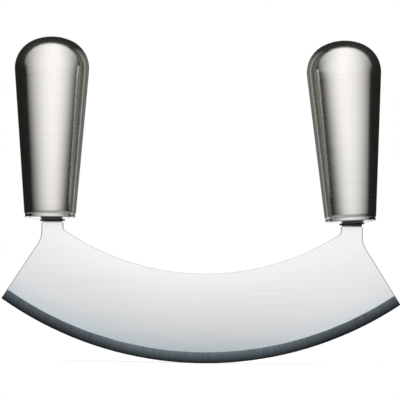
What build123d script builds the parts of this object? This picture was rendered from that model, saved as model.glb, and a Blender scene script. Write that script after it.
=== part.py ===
from build123d import *
import math
import os

# Mezzaluna: a crescent rocking blade under two upright handles.
# X runs along the blade from tip to tip, Y through its thickness, Z up.
# The origin is the lowest point of the cutting edge, in the middle of the sheet.
# Lengths are in millimetres, angles in degrees.

# Blade blank
blade_span = 200.0             # tip to tip
edge_radius = 177.3            # the arc of the cutting edge
back_radius = 124.9            # the arc of the back, between the necks
blade_depth = 44.7             # edge to back at the middle
blade_thickness = 2.0
tip_rounding = 0.5

# Ground bevel, the same on both faces
bevel_width = 5.5
edge_thickness = 0.3

cutter_overrun = 2.0           # how far any cutting tool runs past what it cuts

# Necks, and the tangs that go up into the handles
neck_inset = 24.9              # from the blade's tip in to the neck's middle
neck_width = 10.9
neck_rise = 3.4                # neck above its inner root, at the blade's back
neck_outer_drop = 4.6          # its outer root, at the blade's end, below its inner one
neck_outer_rounding = 10.0     # where the neck runs into the blade's end
neck_inner_rounding = 2.5      # where the neck runs into the blade's back
tang_width = 10.0
tang_thickness = 1.6
tang_reveal = 1.0              # between the neck and the lowest point of the left cap
tang_reach = 50.0              # tang inside the handle, above its mouth
key_hole_radius = 2.5          # the core runs through this hole and locks the tang
key_hole_drop = 12.0           # from the tang's top to the hole's middle
tang_corner = 2.0

# Handles: a cone that narrows downwards, under a dome with a crown and a tighter knuckle
handle_length = 91.3           # with the rim of the cap
handle_radius = 18.75          # at the foot of the dome
handle_mouth_radius = 12.8     # where the straight side would end, at the cap's lower edge
crown_radius = 24.0
knuckle_radius = 15.25
shell_wall = 1.0
seam_height = 1.7              # the shell stands on the cap's rim, this far above the lower edge
seam_rounding = 5.0            # the shell's outer edge curves in towards the seam
seam_turn = 115.0              # where that curve ends, measured from upright

# How each handle is set on its neck: moved outwards, raised, and leaning inwards
left_handle_shift = 1.25
right_handle_shift = -0.7
left_handle_rise = 0.0
right_handle_rise = 0.5
left_handle_lean = -0.4
right_handle_lean = 3.3

# End caps: a dome with a rim that shows and a skirt that goes up inside the shell
cap_depth = 1.3
cap_wall = 1.0
cap_rim_radius = 12.75
cap_rim_flare = 0.25           # the rim is this much narrower at the seam
cap_rim_chamfer = 0.35
cap_skirt_height = 4.0         # above the seam
cap_fit = 0.05                 # gap round the skirt, at the seam
slot_clearance = 0.2           # gap round the tang in the cap's slot

# Cast core in the handle
bond_gap = 0.1                 # between the core and the metal round it

# Bead of sealant round the tang, under the cap
seal_length = 12.6
seal_width = 5.6
seal_height = 0.5


def circle_drop(radius, half_chord):
    """How far an arc of this radius rises over half of a chord."""
    return radius - math.sqrt(radius**2 - half_chord**2)


def save(solid, name):
    solid.label = name
    export_step(solid, f"parts/{name}.step")


# The blade

tip_x = blade_span / 2
tip_z = circle_drop(edge_radius, tip_x)
neck_x = tip_x - neck_inset
neck_outer_x = neck_x + neck_width / 2
neck_inner_x = neck_x - neck_width / 2
back_root_z = blade_depth + circle_drop(back_radius, neck_inner_x)
neck_root_z = back_root_z - neck_outer_drop
neck_top = back_root_z + neck_rise
mouth_z = neck_top + tang_reveal + cap_depth
tang_top = mouth_z + tang_reach


def nearest_corner(sketch, x, z):
    return sketch.vertices().sort_by_distance((x, 0, z))[0]


def blade_outline():
    """Crescent and necks, seen square to the sheet."""
    edge = ThreePointArc((-tip_x, 0, tip_z), (0, 0, 0), (tip_x, 0, tip_z))
    right = Polyline(
        (tip_x, 0, tip_z),
        (neck_outer_x, 0, neck_root_z),
        (neck_outer_x, 0, neck_top),
        (neck_inner_x, 0, neck_top),
        (neck_inner_x, 0, back_root_z),
    )
    back = ThreePointArc(
        (neck_inner_x, 0, back_root_z),
        (0, 0, blade_depth),
        (-neck_inner_x, 0, back_root_z),
    )
    left = mirror(right, about=Plane.YZ)
    outline = make_face(edge + right + back + left)
    roundings = (
        (neck_outer_x, neck_root_z, neck_outer_rounding),
        (neck_inner_x, back_root_z, neck_inner_rounding),
        (tip_x, tip_z, tip_rounding),
    )
    for x, z, radius in roundings:
        for side in (-1, 1):
            outline = fillet(nearest_corner(outline, side * x, z), radius)
    return outline


def bevel_cutter():
    """Ring that grinds one face down to the cutting edge."""
    face_y = blade_thickness / 2
    edge_y = edge_thickness / 2
    section = Polyline(
        (0, face_y, bevel_width),
        (0, edge_y, 0),
        (0, edge_y, -cutter_overrun),
        (0, face_y + cutter_overrun, -cutter_overrun),
        (0, face_y + cutter_overrun, bevel_width),
        close=True,
    )
    arc_axis = Axis((0, 0, edge_radius), (0, 1, 0))
    return revolve(make_face(section), arc_axis)


def tang(side, clearance=0.0):
    """Strip from the neck up into the handle, or the slot that it goes through."""
    width = tang_width + 2 * clearance
    thickness = tang_thickness + 2 * clearance
    height = tang_top - neck_top
    strip = Box(width, thickness, height, align=(Align.CENTER, Align.CENTER, Align.MIN))
    return Pos(side * neck_x, 0, neck_top) * strip


def finished_tang(side):
    strip = tang(side)
    strip = chamfer(strip.edges().filter_by(Axis.Y).group_by(Axis.Z)[-1], tang_corner)
    hole = Cylinder(key_hole_radius, blade_thickness + cutter_overrun, rotation=(90, 0, 0))
    return strip - Pos(side * neck_x, 0, tang_top - key_hole_drop) * hole


def make_blade():
    sheet = extrude(blade_outline(), blade_thickness / 2, dir=(0, 1, 0), both=True)
    grind = bevel_cutter()
    sheet = sheet - grind - mirror(grind, about=Plane.XZ)
    for side in (-1, 1):
        sheet = sheet + finished_tang(side)
    return sheet


# The handles, each made upright with the lower edge of its cap centred on the origin

knuckle_x = handle_radius - knuckle_radius
crown_z = handle_length - crown_radius
dome_foot = crown_z + math.sqrt((crown_radius - knuckle_radius) ** 2 - knuckle_x**2)
# where the crown meets the knuckle, and the knuckle the side: angles from upright
crown_turn = math.atan2(knuckle_x, dome_foot - crown_z)
side_lean = math.asin(knuckle_radius / math.hypot(knuckle_x - handle_mouth_radius, dome_foot)) + math.atan2(
    knuckle_x - handle_mouth_radius, dome_foot
)
knuckle_turn = math.radians(90) + side_lean


def on_arc(centre_x, centre_z, radius, turn):
    """Point on an arc in the XZ plane, at an angle from upright."""
    return (centre_x + radius * math.sin(turn), 0, centre_z + radius * math.cos(turn))


def side_radius(height, inset=0.0):
    """Radius of the straight side at a height above the cap's lower edge."""
    top_x, _, top_z = on_arc(knuckle_x, dome_foot, knuckle_radius - inset, knuckle_turn)
    return top_x - (top_z - height) * math.tan(side_lean)


def dome_curve(inset=0.0):
    """Crown and knuckle, from the apex down to the straight side."""
    crown = crown_radius - inset
    knuckle = knuckle_radius - inset
    top = ThreePointArc(
        (0, 0, crown_z + crown),
        on_arc(0, crown_z, crown, crown_turn / 2),
        on_arc(knuckle_x, dome_foot, knuckle, crown_turn),
    )
    corner = ThreePointArc(
        on_arc(knuckle_x, dome_foot, knuckle, crown_turn),
        on_arc(knuckle_x, dome_foot, knuckle, (crown_turn + knuckle_turn) / 2),
        on_arc(knuckle_x, dome_foot, knuckle, knuckle_turn),
    )
    return top + corner


def make_shell():
    """Even wall, open below, with its outer edge rounded in towards the seam with the cap."""
    last_turn = math.radians(seam_turn)
    round_z = seam_height - seam_rounding * math.cos(last_turn)
    round_x = side_radius(round_z, seam_rounding)
    rounding = ThreePointArc(
        on_arc(round_x, round_z, seam_rounding, knuckle_turn),
        on_arc(round_x, round_z, seam_rounding, (knuckle_turn + last_turn) / 2),
        on_arc(round_x, round_z, seam_rounding, last_turn),
    )
    side = Line(
        on_arc(knuckle_x, dome_foot, knuckle_radius, knuckle_turn),
        on_arc(round_x, round_z, seam_rounding, knuckle_turn),
    )
    inside = Polyline(
        on_arc(round_x, round_z, seam_rounding, last_turn),
        (side_radius(seam_height, shell_wall), 0, seam_height),
        on_arc(knuckle_x, dome_foot, knuckle_radius - shell_wall, knuckle_turn),
    )
    apex = Line((0, 0, handle_length - shell_wall), (0, 0, handle_length))
    outside = dome_curve() + side + rounding
    return revolve(make_face(outside + inside + dome_curve(shell_wall) + apex), Axis.Z)


def inner_form(inset, floor):
    """Solid that lies this far inside the handle's outer surface, above a floor."""
    sides = Polyline(
        (0, 0, handle_length - inset),
        (0, 0, floor),
        (side_radius(floor, inset), 0, floor),
        on_arc(knuckle_x, dome_foot, knuckle_radius - inset, knuckle_turn),
    )
    return revolve(make_face(dome_curve(inset) + sides), Axis.Z)


cap_skirt_radius = side_radius(seam_height, shell_wall) - cap_fit
cap_edge_radius = cap_rim_radius - cap_rim_chamfer
cap_dome_radius = (cap_edge_radius**2 + cap_depth**2) / (2 * cap_depth)
cap_dome_centre = cap_dome_radius - cap_depth


def cap_bottom(x, inset=0.0):
    """Height of the cap's dome, at a distance from its axis."""
    return cap_dome_centre - math.sqrt((cap_dome_radius - inset) ** 2 - x**2)


def cap_blank():
    """Domed cap with its rim and skirt, before the slot is cut."""
    inner = cap_skirt_radius - cap_wall
    skirt_top = seam_height + cap_skirt_height
    outer_dome = ThreePointArc(
        (0, 0, cap_bottom(0)),
        (cap_edge_radius / 2, 0, cap_bottom(cap_edge_radius / 2)),
        (cap_edge_radius, 0, 0),
    )
    inner_dome = ThreePointArc(
        (inner, 0, cap_bottom(inner, cap_wall)),
        (inner / 2, 0, cap_bottom(inner / 2, cap_wall)),
        (0, 0, cap_bottom(0, cap_wall)),
    )
    skirt = Polyline(
        (cap_edge_radius, 0, 0),
        (cap_rim_radius, 0, cap_rim_chamfer),
        (cap_rim_radius - cap_rim_flare, 0, seam_height),
        (cap_skirt_radius, 0, seam_height),
        (cap_skirt_radius, 0, skirt_top),
        (inner, 0, skirt_top),
        (inner, 0, cap_bottom(inner, cap_wall)),
    )
    middle = Line((0, 0, cap_bottom(0, cap_wall)), (0, 0, cap_bottom(0)))
    return revolve(make_face(outer_dome + skirt + inner_dome + middle), Axis.Z)


def make_cap(place, side):
    return place * cap_blank() - tang(side, slot_clearance)


def make_core(place, blade):
    """Casting that fills the shell and the cap's skirt and runs through the key hole."""
    floor = seam_height + cap_skirt_height + bond_gap
    above = inner_form(shell_wall + bond_gap, floor)
    plug_radius = cap_skirt_radius - cap_wall - bond_gap
    plug = Cylinder(plug_radius, floor + cap_depth, align=(Align.CENTER, Align.CENTER, Align.MIN))
    dome = Sphere(cap_dome_radius - cap_wall - bond_gap)
    plug = Pos(0, 0, -cap_depth) * plug & Pos(0, 0, cap_dome_centre) * dome
    return place * (above + plug) - blade


def make_seal(place, side):
    """Lens of sealant that follows the cap's dome round the tang."""
    half_length = seal_length / 2
    half_width = seal_width / 2
    flank = (half_length**2 + half_width**2) / (2 * half_width)
    depth = cap_depth + cutter_overrun
    disc = Cylinder(flank, depth, align=(Align.CENTER, Align.CENTER, Align.MAX))
    lens = Pos(0, half_width - flank, 0) * disc & Pos(0, flank - half_width, 0) * disc
    lens = Pos(side * neck_x, 0, mouth_z) * lens
    under = cap_dome_radius + cap_fit
    layer = Sphere(under + seal_height) - Sphere(under)
    layer = place * Pos(0, 0, cap_dome_centre) * layer
    return (lens & layer) - tang(side)


def handle_place(side, shift, rise, lean):
    x = side * (neck_x + shift)
    return Location((x, 0, mouth_z + rise), (0, -side * lean, 0))


os.makedirs("parts", exist_ok=True)
blade = make_blade()
save(blade, "blade")
handles = (
    ("left", -1, left_handle_shift, left_handle_rise, left_handle_lean),
    ("right", 1, right_handle_shift, right_handle_rise, right_handle_lean),
)
for name, side, shift, rise, lean in handles:
    place = handle_place(side, shift, rise, lean)
    save(place * make_shell(), f"{name}_handle_shell")
    save(make_cap(place, side), f"{name}_end_cap")
    save(make_core(place, blade), f"{name}_handle_core")
    save(make_seal(place, side), f"{name}_neck_seal")
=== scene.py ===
import math

import bmesh
import bpy
from mathutils import Euler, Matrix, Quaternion, Vector


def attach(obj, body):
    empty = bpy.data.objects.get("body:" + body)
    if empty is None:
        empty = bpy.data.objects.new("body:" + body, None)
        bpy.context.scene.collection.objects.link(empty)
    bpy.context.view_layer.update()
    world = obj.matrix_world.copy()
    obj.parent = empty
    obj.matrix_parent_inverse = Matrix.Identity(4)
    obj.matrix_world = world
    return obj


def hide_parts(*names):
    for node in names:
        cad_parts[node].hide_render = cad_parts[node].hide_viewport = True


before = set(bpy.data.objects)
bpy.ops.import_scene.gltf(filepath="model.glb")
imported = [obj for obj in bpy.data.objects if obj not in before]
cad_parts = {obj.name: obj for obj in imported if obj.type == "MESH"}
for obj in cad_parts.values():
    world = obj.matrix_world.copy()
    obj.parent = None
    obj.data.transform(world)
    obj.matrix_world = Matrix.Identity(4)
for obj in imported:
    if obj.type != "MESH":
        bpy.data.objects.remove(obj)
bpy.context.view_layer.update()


def millimetres(value):
    return value / 1000


def inMetres(sizes):
    return [millimetres(size) for size in sizes]


# Small helpers for node trees

leastDivisor = 0.0001    # keeps a division away from zero


def addNode(tree, kind, inputs=None, **settings):
    made = tree.nodes.new(kind)
    for name, value in settings.items():
        setattr(made, name, value)
    for key, value in (inputs or {}).items():
        plug(tree, value, made.inputs[key])
    return made


def plug(tree, value, socket):
    if isinstance(value, bpy.types.NodeSocket):
        tree.links.new(value, socket)
    else:
        socket.default_value = value


def calc(tree, operation, *values):
    return addNode(tree, "ShaderNodeMath", dict(enumerate(values)), operation=operation).outputs[0]


def vectorCalc(tree, operation, *values):
    return addNode(tree, "ShaderNodeVectorMath", dict(enumerate(values)), operation=operation).outputs[0]


def remap(tree, value, fromLow, fromHigh, toLow=0.0, toHigh=1.0, smooth=False):
    inputs = dict(enumerate((value, fromLow, fromHigh, toLow, toHigh)))
    kind = "SMOOTHSTEP" if smooth else "LINEAR"
    return addNode(tree, "ShaderNodeMapRange", inputs, interpolation_type=kind).outputs[0]


def mixValues(tree, share, first, second):
    return addNode(tree, "ShaderNodeMix", {0: share, 2: first, 3: second}).outputs[0]


def blendColours(tree, share, first, second, way="MIX"):
    inputs = {0: share, 6: first, 7: second}
    return addNode(tree, "ShaderNodeMix", inputs, data_type="RGBA", blend_type=way).outputs[2]


def objectPlace(tree):
    return addNode(tree, "ShaderNodeTexCoord").outputs["Object"]


def split(tree, vector):
    return addNode(tree, "ShaderNodeSeparateXYZ", {0: vector}).outputs


def square(tree, value):
    return calc(tree, "MULTIPLY", value, value)


def grey(level):
    return (level, level, level, 1.0)


def rgb(colour):
    return (*colour, 1.0)


# Camera: straight on, from a little below, turned slightly as in the picture.
# Lengths are in metres here, and only the sensor's is in millimetres.

view = {
    "aimX": millimetres(-1.3),
    "aimZ": millimetres(81.8),
    "distance": 1.2,
    "belowDegrees": 3.2,
    "rollDegrees": 0.96,       # the tool hangs a little lower on the right
    "width": 0.2008,           # what the frame spans at the blade
    "sensor": 36.0,
    "clipStart": 0.05,
}


def addCamera():
    data = bpy.data.cameras.new("camera")
    data.sensor_width = view["sensor"]
    data.lens = view["sensor"] * view["distance"] / view["width"]
    data.clip_start = view["clipStart"]
    camera = bpy.data.objects.new("camera", data)
    bpy.context.collection.objects.link(camera)
    below = math.radians(view["belowDegrees"])
    camera.location = (
        view["aimX"],
        -view["distance"] * math.cos(below),
        view["aimZ"] - view["distance"] * math.sin(below),
    )
    turned = Euler((math.radians(90) + below, 0.0, 0.0)).to_quaternion()
    turned.rotate(Quaternion(turned @ Vector((0, 0, -1)), -math.radians(view["rollDegrees"])))
    camera.rotation_mode = "QUATERNION"
    camera.rotation_quaternion = turned
    bpy.context.scene.camera = camera


addCamera()
print("camera set")


# Studio: pale floor, white surroundings, and one broad soft light over the front.
# Sizes and heights are in metres, and edges of the light are parts of a direction.

studio = {
    "floorRadius": 0.27,
    "floorSegments": 96,
    "floorBack": 0.10,         # its middle, behind the tool
    "floorColour": 0.8,
    "floorGlow": 0.42,
    "floorDark": 0.30,         # what metal sees of the floor round the blade
    "floorDarkEdge": (0.06, 0.10),
    "floorFront": 0.5,         # and of the floor out to the front
    "floorFrontEdge": (-0.08, -0.04),
    "dayLevel": 0.72,          # what the surroundings give to matt surfaces
    "lampPower": 7.0,
    "lampSize": 0.9,
    "lampPlace": (-0.45, -0.9, 1.3),
    "frontLevel": 1.22,        # the broad light, as metal sees it
    "frontSides": (0.0, 0.03),
    "topTilt": 10.0,           # the light ends overhead, a little behind the tool
    "topEdge": (-0.08, 0.14),
    "lowEdge": (-0.95, -0.6),
    "backLevel": 1.0,          # a bright patch straight behind the tool
    "backEdge": (0.970, 0.988),
    "darkLevel": 0.016,        # the unlit room, a little lighter overhead
    "darkTop": 0.030,
    "darkRise": (0.0, 0.6),
    "darkTint": (0.96, 1.0, 0.81),    # and slightly olive
    "tintFall": 4.0,           # none of that tint is left above a level of 1 / tintFall
    "scrimAway": 0.7,          # a graded cloth in front dims the light low down and to the sides
    "scrimHalfWidth": 60.0,
    "scrimHeights": (-40.0, 60.0),
    "scrimFade": (-0.17, 0.10),
    "scrimLow": 0.40,
    "scrimMiddle": 0.018,
    "scrimSteepShare": 0.3,    # how far steep light escapes that dimming
    "scrimFallLow": 0.78,      # the sides dim faster low down
    "scrimFallHigh": 0.45,
    "scrimFallHeights": (0.0, 0.09),
    "cardDepth": 0.35,         # a card between the handles, behind the blade, seen by the metal alone
    "cardHeights": (0.048, 0.26),
    "cardFade": (0.17, 0.26),
    "cardFadeEnd": 0.12,
    "cardColour": (0.11, 0.115, 0.09),
    "cardFarColour": (0.17, 0.175, 0.165),
    "cardFar": 0.043,
    "cardStrips": ((0.003, 0.0025, 0.26), (0.037, 0.0045, 0.58)),    # middle, half width, level
}


def pastScrim(tree, across, deep, up):
    # what misses the scrim is dimmed as if the scrim went on for ever
    steep = calc(tree, "MULTIPLY", square(tree, up), studio["scrimSteepShare"])
    steep = calc(tree, "MAXIMUM", steep, leastDivisor)
    spread = calc(tree, "ADD", calc(tree, "DIVIDE", square(tree, across), steep), 1.0)
    dimmed = calc(tree, "POWER", spread, -studio["scrimFallHigh"])
    missed = calc(tree, "GREATER_THAN", deep, -studio["scrimAway"] / studio["scrimHalfWidth"])
    return mixValues(tree, missed, 1.0, dimmed)


def frontLight(tree, across, deep, up):
    facing = calc(tree, "MAXIMUM", calc(tree, "SUBTRACT", 1.0, square(tree, across)), leastDivisor)
    tilt = math.radians(studio["topTilt"])
    towards = calc(
        tree, "ADD",
        calc(tree, "MULTIPLY", deep, -math.cos(tilt)),
        calc(tree, "MULTIPLY", up, math.sin(tilt)),
    )
    towards = calc(tree, "DIVIDE", towards, calc(tree, "SQRT", facing))
    lit = remap(tree, towards, *studio["topEdge"], smooth=True)
    lit = calc(tree, "MULTIPLY", lit, remap(tree, up, *studio["lowEdge"], smooth=True))
    lit = calc(tree, "MULTIPLY", lit, remap(tree, facing, *studio["frontSides"], smooth=True))
    lit = calc(tree, "MULTIPLY", lit, pastScrim(tree, across, deep, up))
    return calc(tree, "MULTIPLY", lit, studio["frontLevel"])


def background(tree, colour, strength):
    return addNode(tree, "ShaderNodeBackground", {"Color": colour, "Strength": strength}).outputs[0]


def addWorld():
    world = bpy.data.worlds.new("studio")
    bpy.context.scene.world = world
    world.use_nodes = True
    world.cycles.sampling_method = "NONE"    # glossy and matt rays see different levels
    tree = world.node_tree
    tree.nodes.clear()
    across, deep, up = split(tree, addNode(tree, "ShaderNodeTexCoord").outputs["Generated"])
    behind = remap(tree, deep, *studio["backEdge"], 0.0, studio["backLevel"], smooth=True)
    dark = remap(tree, up, *studio["darkRise"], studio["darkLevel"], studio["darkTop"])
    level = calc(tree, "ADD", frontLight(tree, across, deep, up), behind)
    level = calc(tree, "ADD", level, dark)
    bright = calc(tree, "MINIMUM", calc(tree, "MULTIPLY", level, studio["tintFall"]), 1.0)
    tint = blendColours(tree, bright, rgb(studio["darkTint"]), grey(1.0))
    seen = background(tree, tint, level)
    matt = background(tree, grey(1.0), studio["dayLevel"])
    white = background(tree, grey(1.0), 1.0)
    ray = addNode(tree, "ShaderNodeLightPath").outputs
    lighting = addNode(tree, "ShaderNodeMixShader", {0: ray["Is Glossy Ray"], 1: matt, 2: seen}).outputs[0]
    plain = calc(tree, "MAXIMUM", ray["Is Camera Ray"], ray["Is Transmission Ray"])
    final = addNode(tree, "ShaderNodeMixShader", {0: plain, 1: lighting, 2: white}).outputs[0]
    addNode(tree, "ShaderNodeOutputWorld", {"Surface": final})


def stageFinish(name):
    finish = bpy.data.materials.new(name)
    finish.use_nodes = True
    finish.node_tree.nodes.clear()
    return finish, finish.node_tree


def glowing(tree, colour, strength):
    return addNode(tree, "ShaderNodeEmission", {"Color": colour, "Strength": strength}).outputs[0]


def addStage(name, mesh, finish):
    made = bpy.data.objects.new(name, mesh)
    bpy.context.collection.objects.link(made)
    mesh.materials.append(finish)
    return made


def uprightSheet(name, start, end, heights):
    # it stands over the line between two places on the floor
    low, high = heights
    corners = [(*start, low), (*end, low), (*end, high), (*start, high)]
    mesh = bpy.data.meshes.new(name)
    mesh.from_pydata(corners, [], [range(len(corners))])
    return mesh


def onlyForMetal(stagePiece):
    # the camera, shadows and matt surfaces pass through it
    stagePiece.visible_camera = False
    stagePiece.visible_diffuse = False
    stagePiece.visible_shadow = False
    stagePiece.visible_transmission = False


def addFloor():
    mesh = bpy.data.meshes.new("floor")
    work = bmesh.new()
    bmesh.ops.create_circle(
        work, cap_ends=True, segments=studio["floorSegments"], radius=studio["floorRadius"]
    )
    bmesh.ops.translate(work, verts=work.verts, vec=(0.0, studio["floorBack"], 0.0))
    work.to_mesh(mesh)
    work.free()
    finish, tree = stageFinish("floorPaper")
    matt = addNode(tree, "ShaderNodeBsdfDiffuse", {"Color": grey(studio["floorColour"])}).outputs[0]
    ray = addNode(tree, "ShaderNodeLightPath").outputs
    seen = calc(tree, "MAXIMUM", ray["Is Camera Ray"], ray["Is Glossy Ray"])
    seen = calc(tree, "MAXIMUM", seen, ray["Is Transmission Ray"])
    glow = glowing(tree, grey(1.0), calc(tree, "MULTIPLY", seen, studio["floorGlow"]))
    both = addNode(tree, "ShaderNodeAddShader", {0: matt, 1: glow}).outputs[0]
    deep = split(tree, objectPlace(tree))[1]
    levels = (studio["floorFront"], studio["floorDark"])
    dark = glowing(tree, grey(1.0), remap(tree, deep, *studio["floorFrontEdge"], *levels, smooth=True))
    front = remap(tree, deep, *studio["floorDarkEdge"], 1.0, 0.0, smooth=True)
    share = calc(tree, "MULTIPLY", ray["Is Glossy Ray"], front)
    final = addNode(tree, "ShaderNodeMixShader", {0: share, 1: both, 2: dark}).outputs[0]
    addNode(tree, "ShaderNodeOutputMaterial", {"Surface": final})
    addStage("floor", mesh, finish)


def addScrim():
    half = studio["scrimHalfWidth"]
    away = studio["scrimAway"]
    mesh = uprightSheet("scrim", (-half, -away), (half, -away), studio["scrimHeights"])
    finish, tree = stageFinish("scrimCloth")
    parts = split(tree, objectPlace(tree))
    height = parts[2]
    aside = calc(tree, "DIVIDE", calc(tree, "SUBTRACT", parts[0], studio["scrimMiddle"]), away)
    steep = square(tree, calc(tree, "DIVIDE", height, away))
    steep = calc(tree, "MULTIPLY", steep, studio["scrimSteepShare"])
    spread = calc(tree, "DIVIDE", square(tree, aside), calc(tree, "ADD", steep, 1.0))
    spread = calc(tree, "ADD", spread, 1.0)
    falls = (studio["scrimFallLow"], studio["scrimFallHigh"])
    fall = remap(tree, height, *studio["scrimFallHeights"], *falls)
    sides = calc(tree, "POWER", spread, calc(tree, "MULTIPLY", fall, -1.0))
    share = remap(tree, height, *studio["scrimFade"], studio["scrimLow"], 1.0, smooth=True)
    share = calc(tree, "MULTIPLY", share, sides)
    colour = blendColours(tree, share, grey(0.0), grey(1.0))
    through = addNode(tree, "ShaderNodeBsdfTransparent", {"Color": colour}).outputs[0]
    addNode(tree, "ShaderNodeOutputMaterial", {"Surface": through})
    onlyForMetal(addStage("scrim", mesh, finish))


def addCard():
    mesh = uprightSheet("card", (0, 0), (0, studio["cardDepth"]), studio["cardHeights"])
    finish, tree = stageFinish("cardPaper")
    parts = split(tree, objectPlace(tree))
    far = calc(tree, "GREATER_THAN", parts[1], studio["cardFar"])
    colour = blendColours(tree, far, rgb(studio["cardColour"]), rgb(studio["cardFarColour"]))
    for middle, halfWidth, level in studio["cardStrips"]:
        off = calc(tree, "ABSOLUTE", calc(tree, "SUBTRACT", parts[1], middle))
        colour = blendColours(tree, calc(tree, "LESS_THAN", off, halfWidth), colour, grey(level))
    strength = remap(tree, parts[2], *studio["cardFade"], 1.0, studio["cardFadeEnd"], smooth=True)
    addNode(tree, "ShaderNodeOutputMaterial", {"Surface": glowing(tree, colour, strength)})
    onlyForMetal(addStage("card", mesh, finish))


def addLamp():
    data = bpy.data.lights.new("softLamp", "AREA")
    data.size = studio["lampSize"]
    data.energy = studio["lampPower"]
    lamp = bpy.data.objects.new("softLamp", data)
    bpy.context.collection.objects.link(lamp)
    lamp.location = studio["lampPlace"]
    lamp.rotation_euler = (-Vector(studio["lampPlace"])).to_track_quat("-Z", "Y").to_euler()
    lamp.visible_glossy = False    # the metal sees the broad light of the surroundings instead


addWorld()
addFloor()
addScrim()
addCard()
addLamp()
bpy.context.scene.view_settings.view_transform = "Standard"
print("studio set")


# Shader groups that more than one finish uses

grind = {
    "fineDetail": 2.0,
    "coarseDetail": 3.0,
    "roughness": 0.6,
    "spread": (0.3, 0.7),
}
handling = {
    "detail": 4.0,
    "roughness": 0.55,
    "distortion": 0.4,
    "spread": (0.35, 0.7),
}


def newGroup(name, inputs, outputs):
    group = bpy.data.node_groups.new(name, "ShaderNodeTree")
    for label, kind, value in inputs:
        socket = group.interface.new_socket(name=label, in_out="INPUT", socket_type=kind)
        if value is not None:
            socket.default_value = value
    for label, kind in outputs:
        group.interface.new_socket(name=label, in_out="OUTPUT", socket_type=kind)
    return group


def grindGroup():
    # fine lines along one direction of the vector, in two sizes, broken up along their length
    group = newGroup(
        "grindLines",
        (
            ("Vector", "NodeSocketVector", None),
            ("Fine", "NodeSocketVector", (40.0, 40.0, 4000.0)),
            ("Coarse", "NodeSocketVector", (12.0, 12.0, 900.0)),
            ("Coarse Share", "NodeSocketFloat", 0.5),
        ),
        (("Lines", "NodeSocketFloat"),),
    )
    given = addNode(group, "NodeGroupInput").outputs
    sizes = []
    for label, detail in (("Fine", grind["fineDetail"]), ("Coarse", grind["coarseDetail"])):
        stretched = vectorCalc(group, "MULTIPLY", given["Vector"], given[label])
        noise = addNode(
            group, "ShaderNodeTexNoise",
            {"Vector": stretched, "Scale": 1.0, "Detail": detail, "Roughness": grind["roughness"]},
        )
        sizes.append(noise.outputs["Fac"])
    mixed = mixValues(group, given["Coarse Share"], *sizes)
    addNode(group, "NodeGroupOutput", {"Lines": remap(group, mixed, *grind["spread"])})
    return group


def handlingGroup():
    # soft cloudy patches left by wiping and by fingers
    group = newGroup(
        "handlingMarks",
        (
            ("Vector", "NodeSocketVector", None),
            ("Scale", "NodeSocketFloat", 40.0),
            ("Amount", "NodeSocketFloat", 0.5),
        ),
        (("Marks", "NodeSocketFloat"),),
    )
    given = addNode(group, "NodeGroupInput").outputs
    noise = addNode(
        group, "ShaderNodeTexNoise",
        {
            "Vector": given["Vector"],
            "Scale": given["Scale"],
            "Detail": handling["detail"],
            "Roughness": handling["roughness"],
            "Distortion": handling["distortion"],
        },
    )
    soft = remap(group, noise.outputs["Fac"], *handling["spread"], smooth=True)
    addNode(group, "NodeGroupOutput", {"Marks": calc(group, "MULTIPLY", soft, given["Amount"])})
    return group


grindLines = grindGroup()
handlingMarks = handlingGroup()


def useGroup(tree, group, **values):
    made = tree.nodes.new("ShaderNodeGroup")
    made.node_tree = group
    for name, value in values.items():
        plug(tree, value, made.inputs[name.replace("_", " ")])
    return made.outputs


def groundLines(tree, vector, grain):
    # a grain is the fine and the coarse lines per metre each way, and the coarse ones' share
    fine, coarse, share = grain
    return useGroup(tree, grindLines, Vector=vector, Fine=fine, Coarse=coarse, Coarse_Share=share)["Lines"]


def handledMarks(tree, vector, scale, amount):
    return useGroup(tree, handlingMarks, Vector=vector, Scale=scale, Amount=amount)["Marks"]


def newFinish(name, **fixed):
    finish = bpy.data.materials.new(name)
    finish.use_nodes = True
    tree = finish.node_tree
    surface = tree.nodes["Principled BSDF"]
    for key, value in fixed.items():
        surface.inputs[key.replace("_", " ")].default_value = value
    return finish, tree, surface


def addBump(tree, surface, height, look):
    inputs = {"Height": height, "Strength": look["bump"], "Distance": millimetres(look["bumpDepth"])}
    bump = addNode(tree, "ShaderNodeBump", inputs)
    tree.links.new(bump.outputs["Normal"], surface.inputs["Normal"])


steelIndex = 2.5


# Handle shells: one turned profile each, swept round its axis by Geometry Nodes.
# Here and below, sizes are in millimetres and angles in degrees, and a scale is per metre.

handle = {
    "length": 91.3,
    "radius": 18.75,
    "mouthRadius": 12.8,
    "crownRadius": 24.0,
    "knuckleRadius": 15.25,
    "wall": 1.0,
    "seamHeight": 1.7,
    "seamRounding": 5.0,
    "seamTurn": 115.0,
    "stepsAround": 128,
    "crownSteps": 14,
    "knuckleSteps": 18,
    "sideSteps": 20,
    "seamSteps": 8,
    "sharpAngle": 15.0,
    "mergeDistance": 0.005,
    "bump": 0.12,
    "bumpDepth": 0.03,
    "grain": ((50.0, 50.0, 2800.0), (20.0, 20.0, 1000.0), 0.5),
    "colours": ((0.735, 0.715, 0.692), (0.815, 0.795, 0.772)),
    "roughness": (0.14, 0.19),
    "markScale": 38.0,         # where hands have dulled it
    "markShare": 0.18,
    "markColour": (0.74, 0.73, 0.71),
    "markRoughness": 0.03,
}
handlePlaces = {
    "left": {"axisX": -76.35, "footZ": 71.623, "lean": -0.4},
    "right": {"axisX": 74.4, "footZ": 72.123, "lean": -3.3},
}


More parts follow.
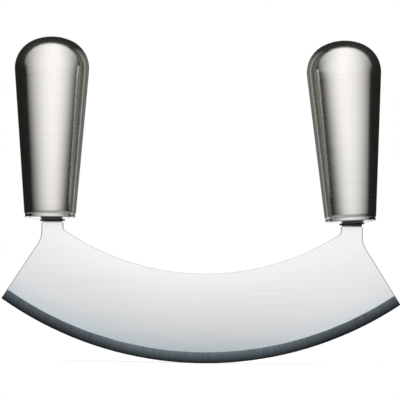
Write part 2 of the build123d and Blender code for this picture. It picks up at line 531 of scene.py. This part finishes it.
def handleProfile():
    # radius and height from the apex down the outside, round the rim and up the inside
    crown = handle["crownRadius"]
    knuckle = handle["knuckleRadius"]
    knuckleX = handle["radius"] - knuckle
    crownZ = handle["length"] - crown
    domeFoot = crownZ + math.sqrt((crown - knuckle) ** 2 - knuckleX**2)
    crownTurn = math.atan2(knuckleX, domeFoot - crownZ)
    inwards = knuckleX - handle["mouthRadius"]
    sideLean = math.asin(knuckle / math.hypot(inwards, domeFoot)) + math.atan2(inwards, domeFoot)
    knuckleTurn = math.radians(90) + sideLean

    def arc(centreX, centreZ, radius, turn):
        return (centreX + radius * math.sin(turn), centreZ + radius * math.cos(turn))

    def sideAt(height, inset=0.0):
        topX, topZ = arc(knuckleX, domeFoot, knuckle - inset, knuckleTurn)
        return topX - (topZ - height) * math.tan(sideLean)

    def skin(inset, lowZ):
        points = []
        for step in range(handle["crownSteps"]):
            points.append(arc(0.0, crownZ, crown - inset, crownTurn * step / handle["crownSteps"]))
        for step in range(handle["knuckleSteps"]):
            turn = crownTurn + (knuckleTurn - crownTurn) * step / handle["knuckleSteps"]
            points.append(arc(knuckleX, domeFoot, knuckle - inset, turn))
        topZ = arc(knuckleX, domeFoot, knuckle - inset, knuckleTurn)[1]
        for step in range(handle["sideSteps"] + 1):
            height = topZ + (lowZ - topZ) * step / handle["sideSteps"]
            points.append((sideAt(height, inset), height))
        return points

    lastTurn = math.radians(handle["seamTurn"])
    curve = handle["seamRounding"]
    roundZ = handle["seamHeight"] - curve * math.cos(lastTurn)
    roundX = sideAt(roundZ, curve)
    outside = skin(0.0, roundZ + curve * math.cos(knuckleTurn))
    for step in range(1, handle["seamSteps"] + 1):
        turn = knuckleTurn + (lastTurn - knuckleTurn) * step / handle["seamSteps"]
        outside.append(arc(roundX, roundZ, curve, turn))
    inside = skin(handle["wall"], handle["seamHeight"])
    return outside + inside[::-1]


def turnedTree():
    tree = bpy.data.node_groups.new("turnedShell", "GeometryNodeTree")
    face = tree.interface
    face.new_socket(name="Profile", in_out="INPUT", socket_type="NodeSocketGeometry")
    for label, kind in (
        ("Steps Around", "NodeSocketInt"),
        ("Foot", "NodeSocketVector"),
        ("Lean", "NodeSocketFloat"),
        ("Grain Radius", "NodeSocketFloat"),
        ("Merge Distance", "NodeSocketFloat"),
        ("Sharp Angle", "NodeSocketFloat"),
        ("Finish", "NodeSocketMaterial"),
    ):
        face.new_socket(name=label, in_out="INPUT", socket_type=kind)
    face.new_socket(name="Shell", in_out="OUTPUT", socket_type="NodeSocketGeometry")
    given = addNode(tree, "NodeGroupInput").outputs
    rows = addNode(
        tree, "GeometryNodeAttributeDomainSize", {"Geometry": given["Profile"]}, component="MESH"
    ).outputs["Point Count"]
    columns = calc(tree, "ADD", given["Steps Around"], 1.0)
    grid = addNode(tree, "GeometryNodeMeshGrid", {"Vertices X": columns, "Vertices Y": rows})
    index = addNode(tree, "GeometryNodeInputIndex").outputs[0]
    row = calc(tree, "MODULO", index, rows)
    column = calc(tree, "FLOOR", calc(tree, "DIVIDE", index, rows))
    position = addNode(tree, "GeometryNodeInputPosition").outputs[0]
    spot = addNode(
        tree, "GeometryNodeSampleIndex",
        {"Geometry": given["Profile"], "Value": position, "Index": row},
        data_type="FLOAT_VECTOR",
    )
    radius, run, height = split(tree, spot.outputs[0])    # the profile's points hold these three
    angle = calc(tree, "MULTIPLY", calc(tree, "DIVIDE", column, given["Steps Around"]), math.tau)
    cosine = calc(tree, "COSINE", angle)
    sine = calc(tree, "SINE", angle)
    upright = addNode(
        tree, "ShaderNodeCombineXYZ",
        {0: calc(tree, "MULTIPLY", radius, cosine), 1: calc(tree, "MULTIPLY", radius, sine), 2: height},
    )
    leaning = addNode(
        tree, "ShaderNodeVectorRotate",
        {"Vector": upright.outputs[0], "Angle": given["Lean"]},
        rotation_type="Y_AXIS",
    )
    placed = vectorCalc(tree, "ADD", leaning.outputs[0], given["Foot"])
    grain = addNode(
        tree, "ShaderNodeCombineXYZ",
        {
            0: calc(tree, "MULTIPLY", given["Grain Radius"], cosine),
            1: calc(tree, "MULTIPLY", given["Grain Radius"], sine),
            2: run,
        },
    )
    named = addNode(
        tree, "GeometryNodeStoreNamedAttribute",
        {"Geometry": grid.outputs[0], "Name": "turned", "Value": grain.outputs[0]},
        data_type="FLOAT_VECTOR", domain="POINT",
    )
    moved = addNode(tree, "GeometryNodeSetPosition", {"Geometry": named.outputs[0], "Position": placed})
    closed = addNode(
        tree, "GeometryNodeMergeByDistance",
        {"Geometry": moved.outputs[0], "Distance": given["Merge Distance"]},
    )
    smooth = addNode(
        tree, "GeometryNodeSetShadeSmooth", {"Geometry": closed.outputs[0], "Shade Smooth": True}
    )
    bend = addNode(tree, "GeometryNodeInputMeshEdgeAngle").outputs["Unsigned Angle"]
    crisp = addNode(
        tree, "GeometryNodeSetShadeSmooth",
        {
            "Geometry": smooth.outputs[0],
            "Selection": calc(tree, "GREATER_THAN", bend, given["Sharp Angle"]),
            "Shade Smooth": False,
        },
        domain="EDGE",
    )
    real = addNode(tree, "GeometryNodeRealizeInstances", {"Geometry": crisp.outputs[0]})
    clad = addNode(
        tree, "GeometryNodeSetMaterial", {"Geometry": real.outputs[0], "Material": given["Finish"]}
    )
    addNode(tree, "NodeGroupOutput", {"Shell": clad.outputs[0]})
    return tree


def setInput(modifier, label, value):
    for item in modifier.node_group.interface.items_tree:
        if item.item_type == "SOCKET" and item.in_out == "INPUT" and item.name == label:
            modifier[item.identifier] = value


def plainMesh(source, name):
    # the evaluated result as a mesh of its own
    depsgraph = bpy.context.evaluated_depsgraph_get()
    mesh = bpy.data.meshes.new_from_object(source.evaluated_get(depsgraph), depsgraph=depsgraph)
    mesh.name = name
    return mesh


def faceOutwards(mesh):
    work = bmesh.new()
    work.from_mesh(mesh)
    bmesh.ops.recalc_face_normals(work, faces=work.faces)
    work.to_mesh(mesh)
    work.free()


def handleSteel():
    finish, tree, surface = newFinish("handleSteel", Metallic=1.0, IOR=steelIndex)
    turned = addNode(tree, "ShaderNodeAttribute", attribute_name="turned").outputs["Vector"]
    lines = groundLines(tree, turned, handle["grain"])
    marks = handledMarks(tree, objectPlace(tree), handle["markScale"], 1.0)
    dark, light = handle["colours"]
    colour = blendColours(tree, lines, rgb(dark), rgb(light))
    marked = calc(tree, "MULTIPLY", marks, handle["markShare"])
    colour = blendColours(tree, marked, colour, rgb(handle["markColour"]))
    tree.links.new(colour, surface.inputs["Base Color"])
    rough = remap(tree, lines, 0.0, 1.0, *handle["roughness"])
    rough = calc(tree, "ADD", rough, calc(tree, "MULTIPLY", marks, handle["markRoughness"]))
    tree.links.new(rough, surface.inputs["Roughness"])
    addBump(tree, surface, lines, handle)
    return finish


def addHandle(side, tree, finish):
    name = f"{side}_handle"
    place = handlePlaces[side]
    profile = handleProfile()
    mesh = bpy.data.meshes.new(name)
    points = []
    run = 0.0
    for number, (radius, height) in enumerate(profile):
        if number:
            run += math.dist((radius, height), profile[number - 1])
        points.append((millimetres(radius), millimetres(run), millimetres(height)))
    mesh.from_pydata(points, [(number, number + 1) for number in range(len(points) - 1)], [])
    source = bpy.data.objects.new(f"{name}_profile", mesh)
    bpy.context.collection.objects.link(source)
    modifier = source.modifiers.new("turned", "NODES")
    modifier.node_group = tree
    setInput(modifier, "Steps Around", handle["stepsAround"])
    setInput(modifier, "Foot", (millimetres(place["axisX"]), 0.0, millimetres(place["footZ"])))
    setInput(modifier, "Lean", math.radians(place["lean"]))
    setInput(modifier, "Grain Radius", millimetres(handle["mouthRadius"]))
    setInput(modifier, "Merge Distance", millimetres(handle["mergeDistance"]))
    setInput(modifier, "Sharp Angle", math.radians(handle["sharpAngle"]))
    setInput(modifier, "Finish", finish)
    made = plainMesh(source, name)
    bpy.data.objects.remove(source)
    faceOutwards(made)
    shell = bpy.data.objects.new(name, made)
    bpy.context.collection.objects.link(shell)
    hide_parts(f"{side}_handle_shell")
    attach(shell, "root")
    print(name, len(made.polygons), "faces")


shellTree = turnedTree()
shellSteel = handleSteel()
for side in handlePlaces:
    addHandle(side, shellTree, shellSteel)


# Blade: the CAD sheet with its outline lightly broken, ground faces with painted reflection, and a ground
# bevel painted dark as a reflection

blade = {
    "edgeRadius": 177.3,
    "bevelWidth": 5.5,
    "neckTop": 69.35,
    "mergeDistance": 0.001,
    "dissolveAngle": 0.5,
    "edgeBreak": 0.45,
    "breakSteps": 2,
    "breakAngle": 40.0,
    "cuttingBand": 1.2,        # edges this near the cutting arc stay keen
    "tangLedge": 0.2,          # and so do those that start less than this under the neck's top
    "smoothAngle": 5.0,
    "bump": 0.15,
    "bumpDepth": 0.04,
    "grainTilt": 2.5,
    "faceGrain": ((16.0, 16.0, 2400.0), (9.0, 9.0, 800.0), 0.55),
    "faceRoughness": (0.27, 0.35),
    "faceShades": (0.915, 1.05),       # the grain's lines multiply the colour by these
    "bevelGrain": ((90.0, 40.0, 3800.0), (60.0, 30.0, 1500.0), 0.5),
    "bevelRoughness": (0.33, 0.42),
    "bevelShades": (0.7, 1.35),
    "faceColour": (0.885, 0.885, 0.88),
    "paintedReflectionColour": (0.625, 0.648, 0.668),
    "paintedReflectionEnd": 42.0,           # painted reflection: the sheet is coloured darker and bluer up to here from the edge
    "paintedReflectionRightFade": (0.0, 80.0),      # it fades out to the right
    "paintedReflectionRight": 0.5,
    "paintedReflectionLeftFade": (-90.0, -40.0),    # and a little to the left
    "paintedReflectionLeft": 0.75,
    "coolReflectionEnd": 13.0,           # painted reflection: a cool tinge right above the bevel
    "coolReflectionShare": 0.55,
    "coolReflectionColour": (0.52, 0.64, 0.69),
    "bevelEdgeReflection": (0.010, 0.010, 0.010),     # painted reflection: the bevel's dark colour at the edge
    "bevelTopReflection": (0.34, 0.42, 0.47),       # and at its upper line
    "bevelFade": (25.0, 75.0),         # painted reflection, darker out towards the tips
    "bevelTips": 0.55,
    "rimFacing": (0.88, 0.975),        # painted shade: the cut rim is coloured darker than the faces
    "rimShade": (0.25, 0.25, 0.245),
    "backFacing": (0.1, 0.4),          # painted highlight: lighter along the back, where the rim faces up
    "backHighlight": (0.78, 0.78, 0.775),
    "tangShadeEdge": (69.75, 70.1),        # painted shade: the tang in the gap under the cap grades from grey to near black over these heights
    "tangShadeLight": 0.38,
    "tangShadeDark": 0.012,
}


def groundFace(tree, along, inward, lines):
    bevel = millimetres(blade["bevelWidth"])
    right = remap(tree, along, *inMetres(blade["paintedReflectionRightFade"]), 1.0, blade["paintedReflectionRight"], smooth=True)
    left = remap(tree, along, *inMetres(blade["paintedReflectionLeftFade"]), blade["paintedReflectionLeft"], 1.0, smooth=True)
    # painted reflection: the face is coloured darker and bluer towards the bevel, less so to the sides
    paintedReflection = remap(tree, inward, bevel, millimetres(blade["paintedReflectionEnd"]), 1.0, 0.0)
    paintedReflection = calc(tree, "MULTIPLY", paintedReflection, calc(tree, "MULTIPLY", right, left))
    colour = blendColours(tree, paintedReflection, rgb(blade["faceColour"]), rgb(blade["paintedReflectionColour"]))
    # painted reflection: a cool tinge just above the bevel
    coolReflection = remap(tree, inward, bevel, millimetres(blade["coolReflectionEnd"]), blade["coolReflectionShare"], 0.0)
    coolReflection = calc(tree, "MULTIPLY", coolReflection, right)
    colour = blendColours(tree, coolReflection, colour, rgb(blade["coolReflectionColour"]))
    return blendColours(tree, 1.0, colour, remap(tree, lines, 0.0, 1.0, *blade["faceShades"]), "MULTIPLY")


def groundBevel(tree, along, inward, lines):
    # painted reflection: the bevel is coloured near black at the edge and slate blue at its upper line
    edgeways = remap(tree, inward, 0.0, millimetres(blade["bevelWidth"]))
    colour = blendColours(tree, edgeways, rgb(blade["bevelEdgeReflection"]), rgb(blade["bevelTopReflection"]))
    aside = calc(tree, "ABSOLUTE", along)
    tips = remap(tree, aside, *inMetres(blade["bevelFade"]), 1.0, blade["bevelTips"], smooth=True)
    colour = blendColours(tree, 1.0, colour, tips, "MULTIPLY")
    return blendColours(tree, 1.0, colour, remap(tree, lines, 0.0, 1.0, *blade["bevelShades"]), "MULTIPLY")


def withRim(tree, steel):
    # painted shade on the cut rim, with a painted highlight where it faces up
    facing = split(tree, addNode(tree, "ShaderNodeTexCoord").outputs["Normal"])
    rim = remap(tree, calc(tree, "ABSOLUTE", facing[1]), *blade["rimFacing"], 1.0, 0.0, smooth=True)
    back = remap(tree, facing[2], *blade["backFacing"], smooth=True)
    cut = blendColours(tree, back, rgb(blade["rimShade"]), rgb(blade["backHighlight"]))
    return blendColours(tree, rim, steel, cut)


def withTang(tree, up, steel):
    # painted shade: the tang showing between neck and cap is coloured grey, near black under the cap
    levels = (blade["tangShadeLight"], blade["tangShadeDark"])
    paintedShade = remap(tree, up, *inMetres(blade["tangShadeEdge"]), *levels)
    onTang = calc(tree, "GREATER_THAN", up, millimetres(blade["neckTop"]))
    return blendColours(tree, onTang, steel, paintedShade)


def bladeSteel():
    finish, tree, surface = newFinish("bladeSteel", Metallic=1.0, IOR=steelIndex)
    where = objectPlace(tree)
    along, deep, up = split(tree, where)
    centre = millimetres(blade["edgeRadius"])
    drop = calc(tree, "SUBTRACT", centre, up)
    reach = calc(tree, "SQRT", calc(tree, "ADD", square(tree, along), square(tree, drop)))
    inward = calc(tree, "SUBTRACT", centre, reach)    # metres in from the cutting edge
    turn = calc(tree, "MULTIPLY", calc(tree, "ARCTAN2", along, drop), centre)
    polar = addNode(tree, "ShaderNodeCombineXYZ", {0: inward, 1: deep, 2: turn}).outputs[0]
    tilt = math.radians(blade["grainTilt"])
    tilted = addNode(
        tree, "ShaderNodeVectorRotate", {"Vector": where, "Angle": tilt}, rotation_type="Y_AXIS"
    ).outputs[0]
    flat = groundLines(tree, tilted, blade["faceGrain"])
    cross = groundLines(tree, polar, blade["bevelGrain"])
    onBevel = calc(tree, "LESS_THAN", inward, millimetres(blade["bevelWidth"]))
    face = groundFace(tree, along, inward, flat)
    steel = blendColours(tree, onBevel, face, groundBevel(tree, along, inward, cross))
    steel = withTang(tree, up, withRim(tree, steel))
    tree.links.new(steel, surface.inputs["Base Color"])
    rough = remap(tree, flat, 0.0, 1.0, *blade["faceRoughness"])
    roughBevel = remap(tree, cross, 0.0, 1.0, *blade["bevelRoughness"])
    tree.links.new(mixValues(tree, onBevel, rough, roughBevel), surface.inputs["Roughness"])
    addBump(tree, surface, mixValues(tree, onBevel, flat, cross), blade)
    return finish


def keen(vertex):
    centre = millimetres(blade["edgeRadius"])
    return math.hypot(vertex.co.x, centre - vertex.co.z) > centre - millimetres(blade["cuttingBand"])


def outlineEdges(work):
    top = millimetres(blade["neckTop"] - blade["tangLedge"])
    return [
        edge for edge in work.edges
        if len(edge.link_faces) == 2
        and edge.calc_face_angle() > math.radians(blade["breakAngle"])
        and not all(keen(vertex) for vertex in edge.verts)
        and min(vertex.co.z for vertex in edge.verts) < top
    ]


def addBlade(finish):
    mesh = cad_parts["blade"].data.copy()
    mesh.name = "blade_body"
    work = bmesh.new()
    work.from_mesh(mesh)
    bmesh.ops.remove_doubles(work, verts=work.verts, dist=millimetres(blade["mergeDistance"]))
    bmesh.ops.dissolve_limit(
        work, angle_limit=math.radians(blade["dissolveAngle"]),
        verts=work.verts, edges=work.edges, use_dissolve_boundaries=False,
    )
    bmesh.ops.bevel(
        work, geom=outlineEdges(work), offset=millimetres(blade["edgeBreak"]),
        segments=blade["breakSteps"], profile=0.5, affect="EDGES", clamp_overlap=False,
    )
    for face in work.faces:
        face.smooth = True
    sharp = math.radians(blade["smoothAngle"])
    for edge in work.edges:
        edge.smooth = len(edge.link_faces) == 2 and edge.calc_face_angle() < sharp
    work.to_mesh(mesh)
    work.free()
    mesh.materials.clear()
    mesh.materials.append(finish)
    body = bpy.data.objects.new("blade_body", mesh)
    bpy.context.collection.objects.link(body)
    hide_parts("blade")
    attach(body, "root")
    print("blade_body", len(mesh.polygons), "faces")


addBlade(bladeSteel())


# End caps, sealing beads and the cores inside: CAD solids with their own finishes

cap = {
    "colour": (0.80, 0.79, 0.775),
    "roughness": (0.10, 0.16),
    "grain": ((90.0, 90.0, 2500.0), (70.0, 70.0, 900.0), 0.5),
    "bump": 0.04,
    "bumpDepth": 0.02,
    "markScale": 90.0,
    "markShare": 0.3,
    "markGrey": 0.70,
    "rimFacing": (0.75, 0.93),         # painted shade: the side-facing rim is coloured darker than the dome
    "rimShade": (0.60, 0.595, 0.58),
    "neckX": 75.1,             # painted shade: a dark patch on the dome in front of and behind the tang
    "shadePatchHalf": 5.0,
    "shadePatchFade": 0.6,
    "shadePatchDeep": (11.5, 14.5),
    "shadePatchGrey": 0.012,
    "shadePatchRoughness": 0.6,
    "shadePatchMetal": 0.55,
}
seal = {
    "colours": ((0.012, 0.012, 0.012), (0.03, 0.03, 0.03)),
    "grainScale": 900.0,
    "roughness": (0.35, 0.55),
    "gloss": 0.2,
    "bump": 0.3,
    "bumpDepth": 0.05,
}
core = {
    "colours": ((0.075, 0.078, 0.08), (0.12, 0.12, 0.12)),
    "grainScale": 350.0,
    "roughness": (0.5, 0.7),
    "gloss": 0.5,
    "bump": 0.3,
    "bumpDepth": 0.1,
}
mattNoise = {"detail": 5.0, "spread": (0.3, 0.7)}


def capShadePatch(tree, where, rim):
    # painted shade: a near-black patch on the dome in front of and behind the tang
    parts = split(tree, where)
    fromNeck = calc(tree, "SUBTRACT", calc(tree, "ABSOLUTE", parts[0]), millimetres(cap["neckX"]))
    sides = inMetres((cap["shadePatchHalf"], cap["shadePatchHalf"] + cap["shadePatchFade"]))
    narrow = remap(tree, calc(tree, "ABSOLUTE", fromNeck), *sides, 1.0, 0.0)
    near = remap(tree, calc(tree, "ABSOLUTE", parts[1]), *inMetres(cap["shadePatchDeep"]), 1.0, 0.0)
    return calc(tree, "MULTIPLY", calc(tree, "MULTIPLY", narrow, near), calc(tree, "SUBTRACT", 1.0, rim))


def capSteel():
    finish, tree, surface = newFinish("capSteel")
    where = objectPlace(tree)
    lines = groundLines(tree, where, cap["grain"])
    marks = handledMarks(tree, where, cap["markScale"], 1.0)
    marked = calc(tree, "MULTIPLY", marks, cap["markShare"])
    colour = blendColours(tree, marked, rgb(cap["colour"]), grey(cap["markGrey"]))
    facing = split(tree, addNode(tree, "ShaderNodeTexCoord").outputs["Normal"])
    # painted shade: the side-facing rim is coloured darker than the dome
    rim = remap(tree, calc(tree, "ABSOLUTE", facing[2]), *cap["rimFacing"], 1.0, 0.0, smooth=True)
    colour = blendColours(tree, rim, colour, rgb(cap["rimShade"]))
    paintedShade = capShadePatch(tree, where, rim)
    # painted shade next to the tang
    colour = blendColours(tree, paintedShade, colour, grey(cap["shadePatchGrey"]))
    tree.links.new(colour, surface.inputs["Base Color"])
    rough = remap(tree, lines, 0.0, 1.0, *cap["roughness"])
    tree.links.new(mixValues(tree, paintedShade, rough, cap["shadePatchRoughness"]), surface.inputs["Roughness"])
    metal = remap(tree, paintedShade, 0.0, 1.0, 1.0, cap["shadePatchMetal"])
    tree.links.new(metal, surface.inputs["Metallic"])
    addBump(tree, surface, lines, cap)
    return finish


def mattFinish(name, look):
    finish, tree, surface = newFinish(name, Specular_IOR_Level=look["gloss"])
    noise = addNode(
        tree, "ShaderNodeTexNoise",
        {"Vector": objectPlace(tree), "Scale": look["grainScale"], "Detail": mattNoise["detail"]},
    ).outputs["Fac"]
    dark, light = look["colours"]
    tree.links.new(blendColours(tree, noise, rgb(dark), rgb(light)), surface.inputs["Base Color"])
    rough = remap(tree, noise, *mattNoise["spread"], *look["roughness"])
    tree.links.new(rough, surface.inputs["Roughness"])
    addBump(tree, surface, noise, look)
    return finish


finishes = {
    "end_cap": capSteel(),
    "neck_seal": mattFinish("sealBlack", seal),
    "handle_core": mattFinish("castCore", core),
}
for side in handlePlaces:
    for kind, finish in finishes.items():
        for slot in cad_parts[f"{side}_{kind}"].material_slots:
            slot.material = finish
print("finishes set")
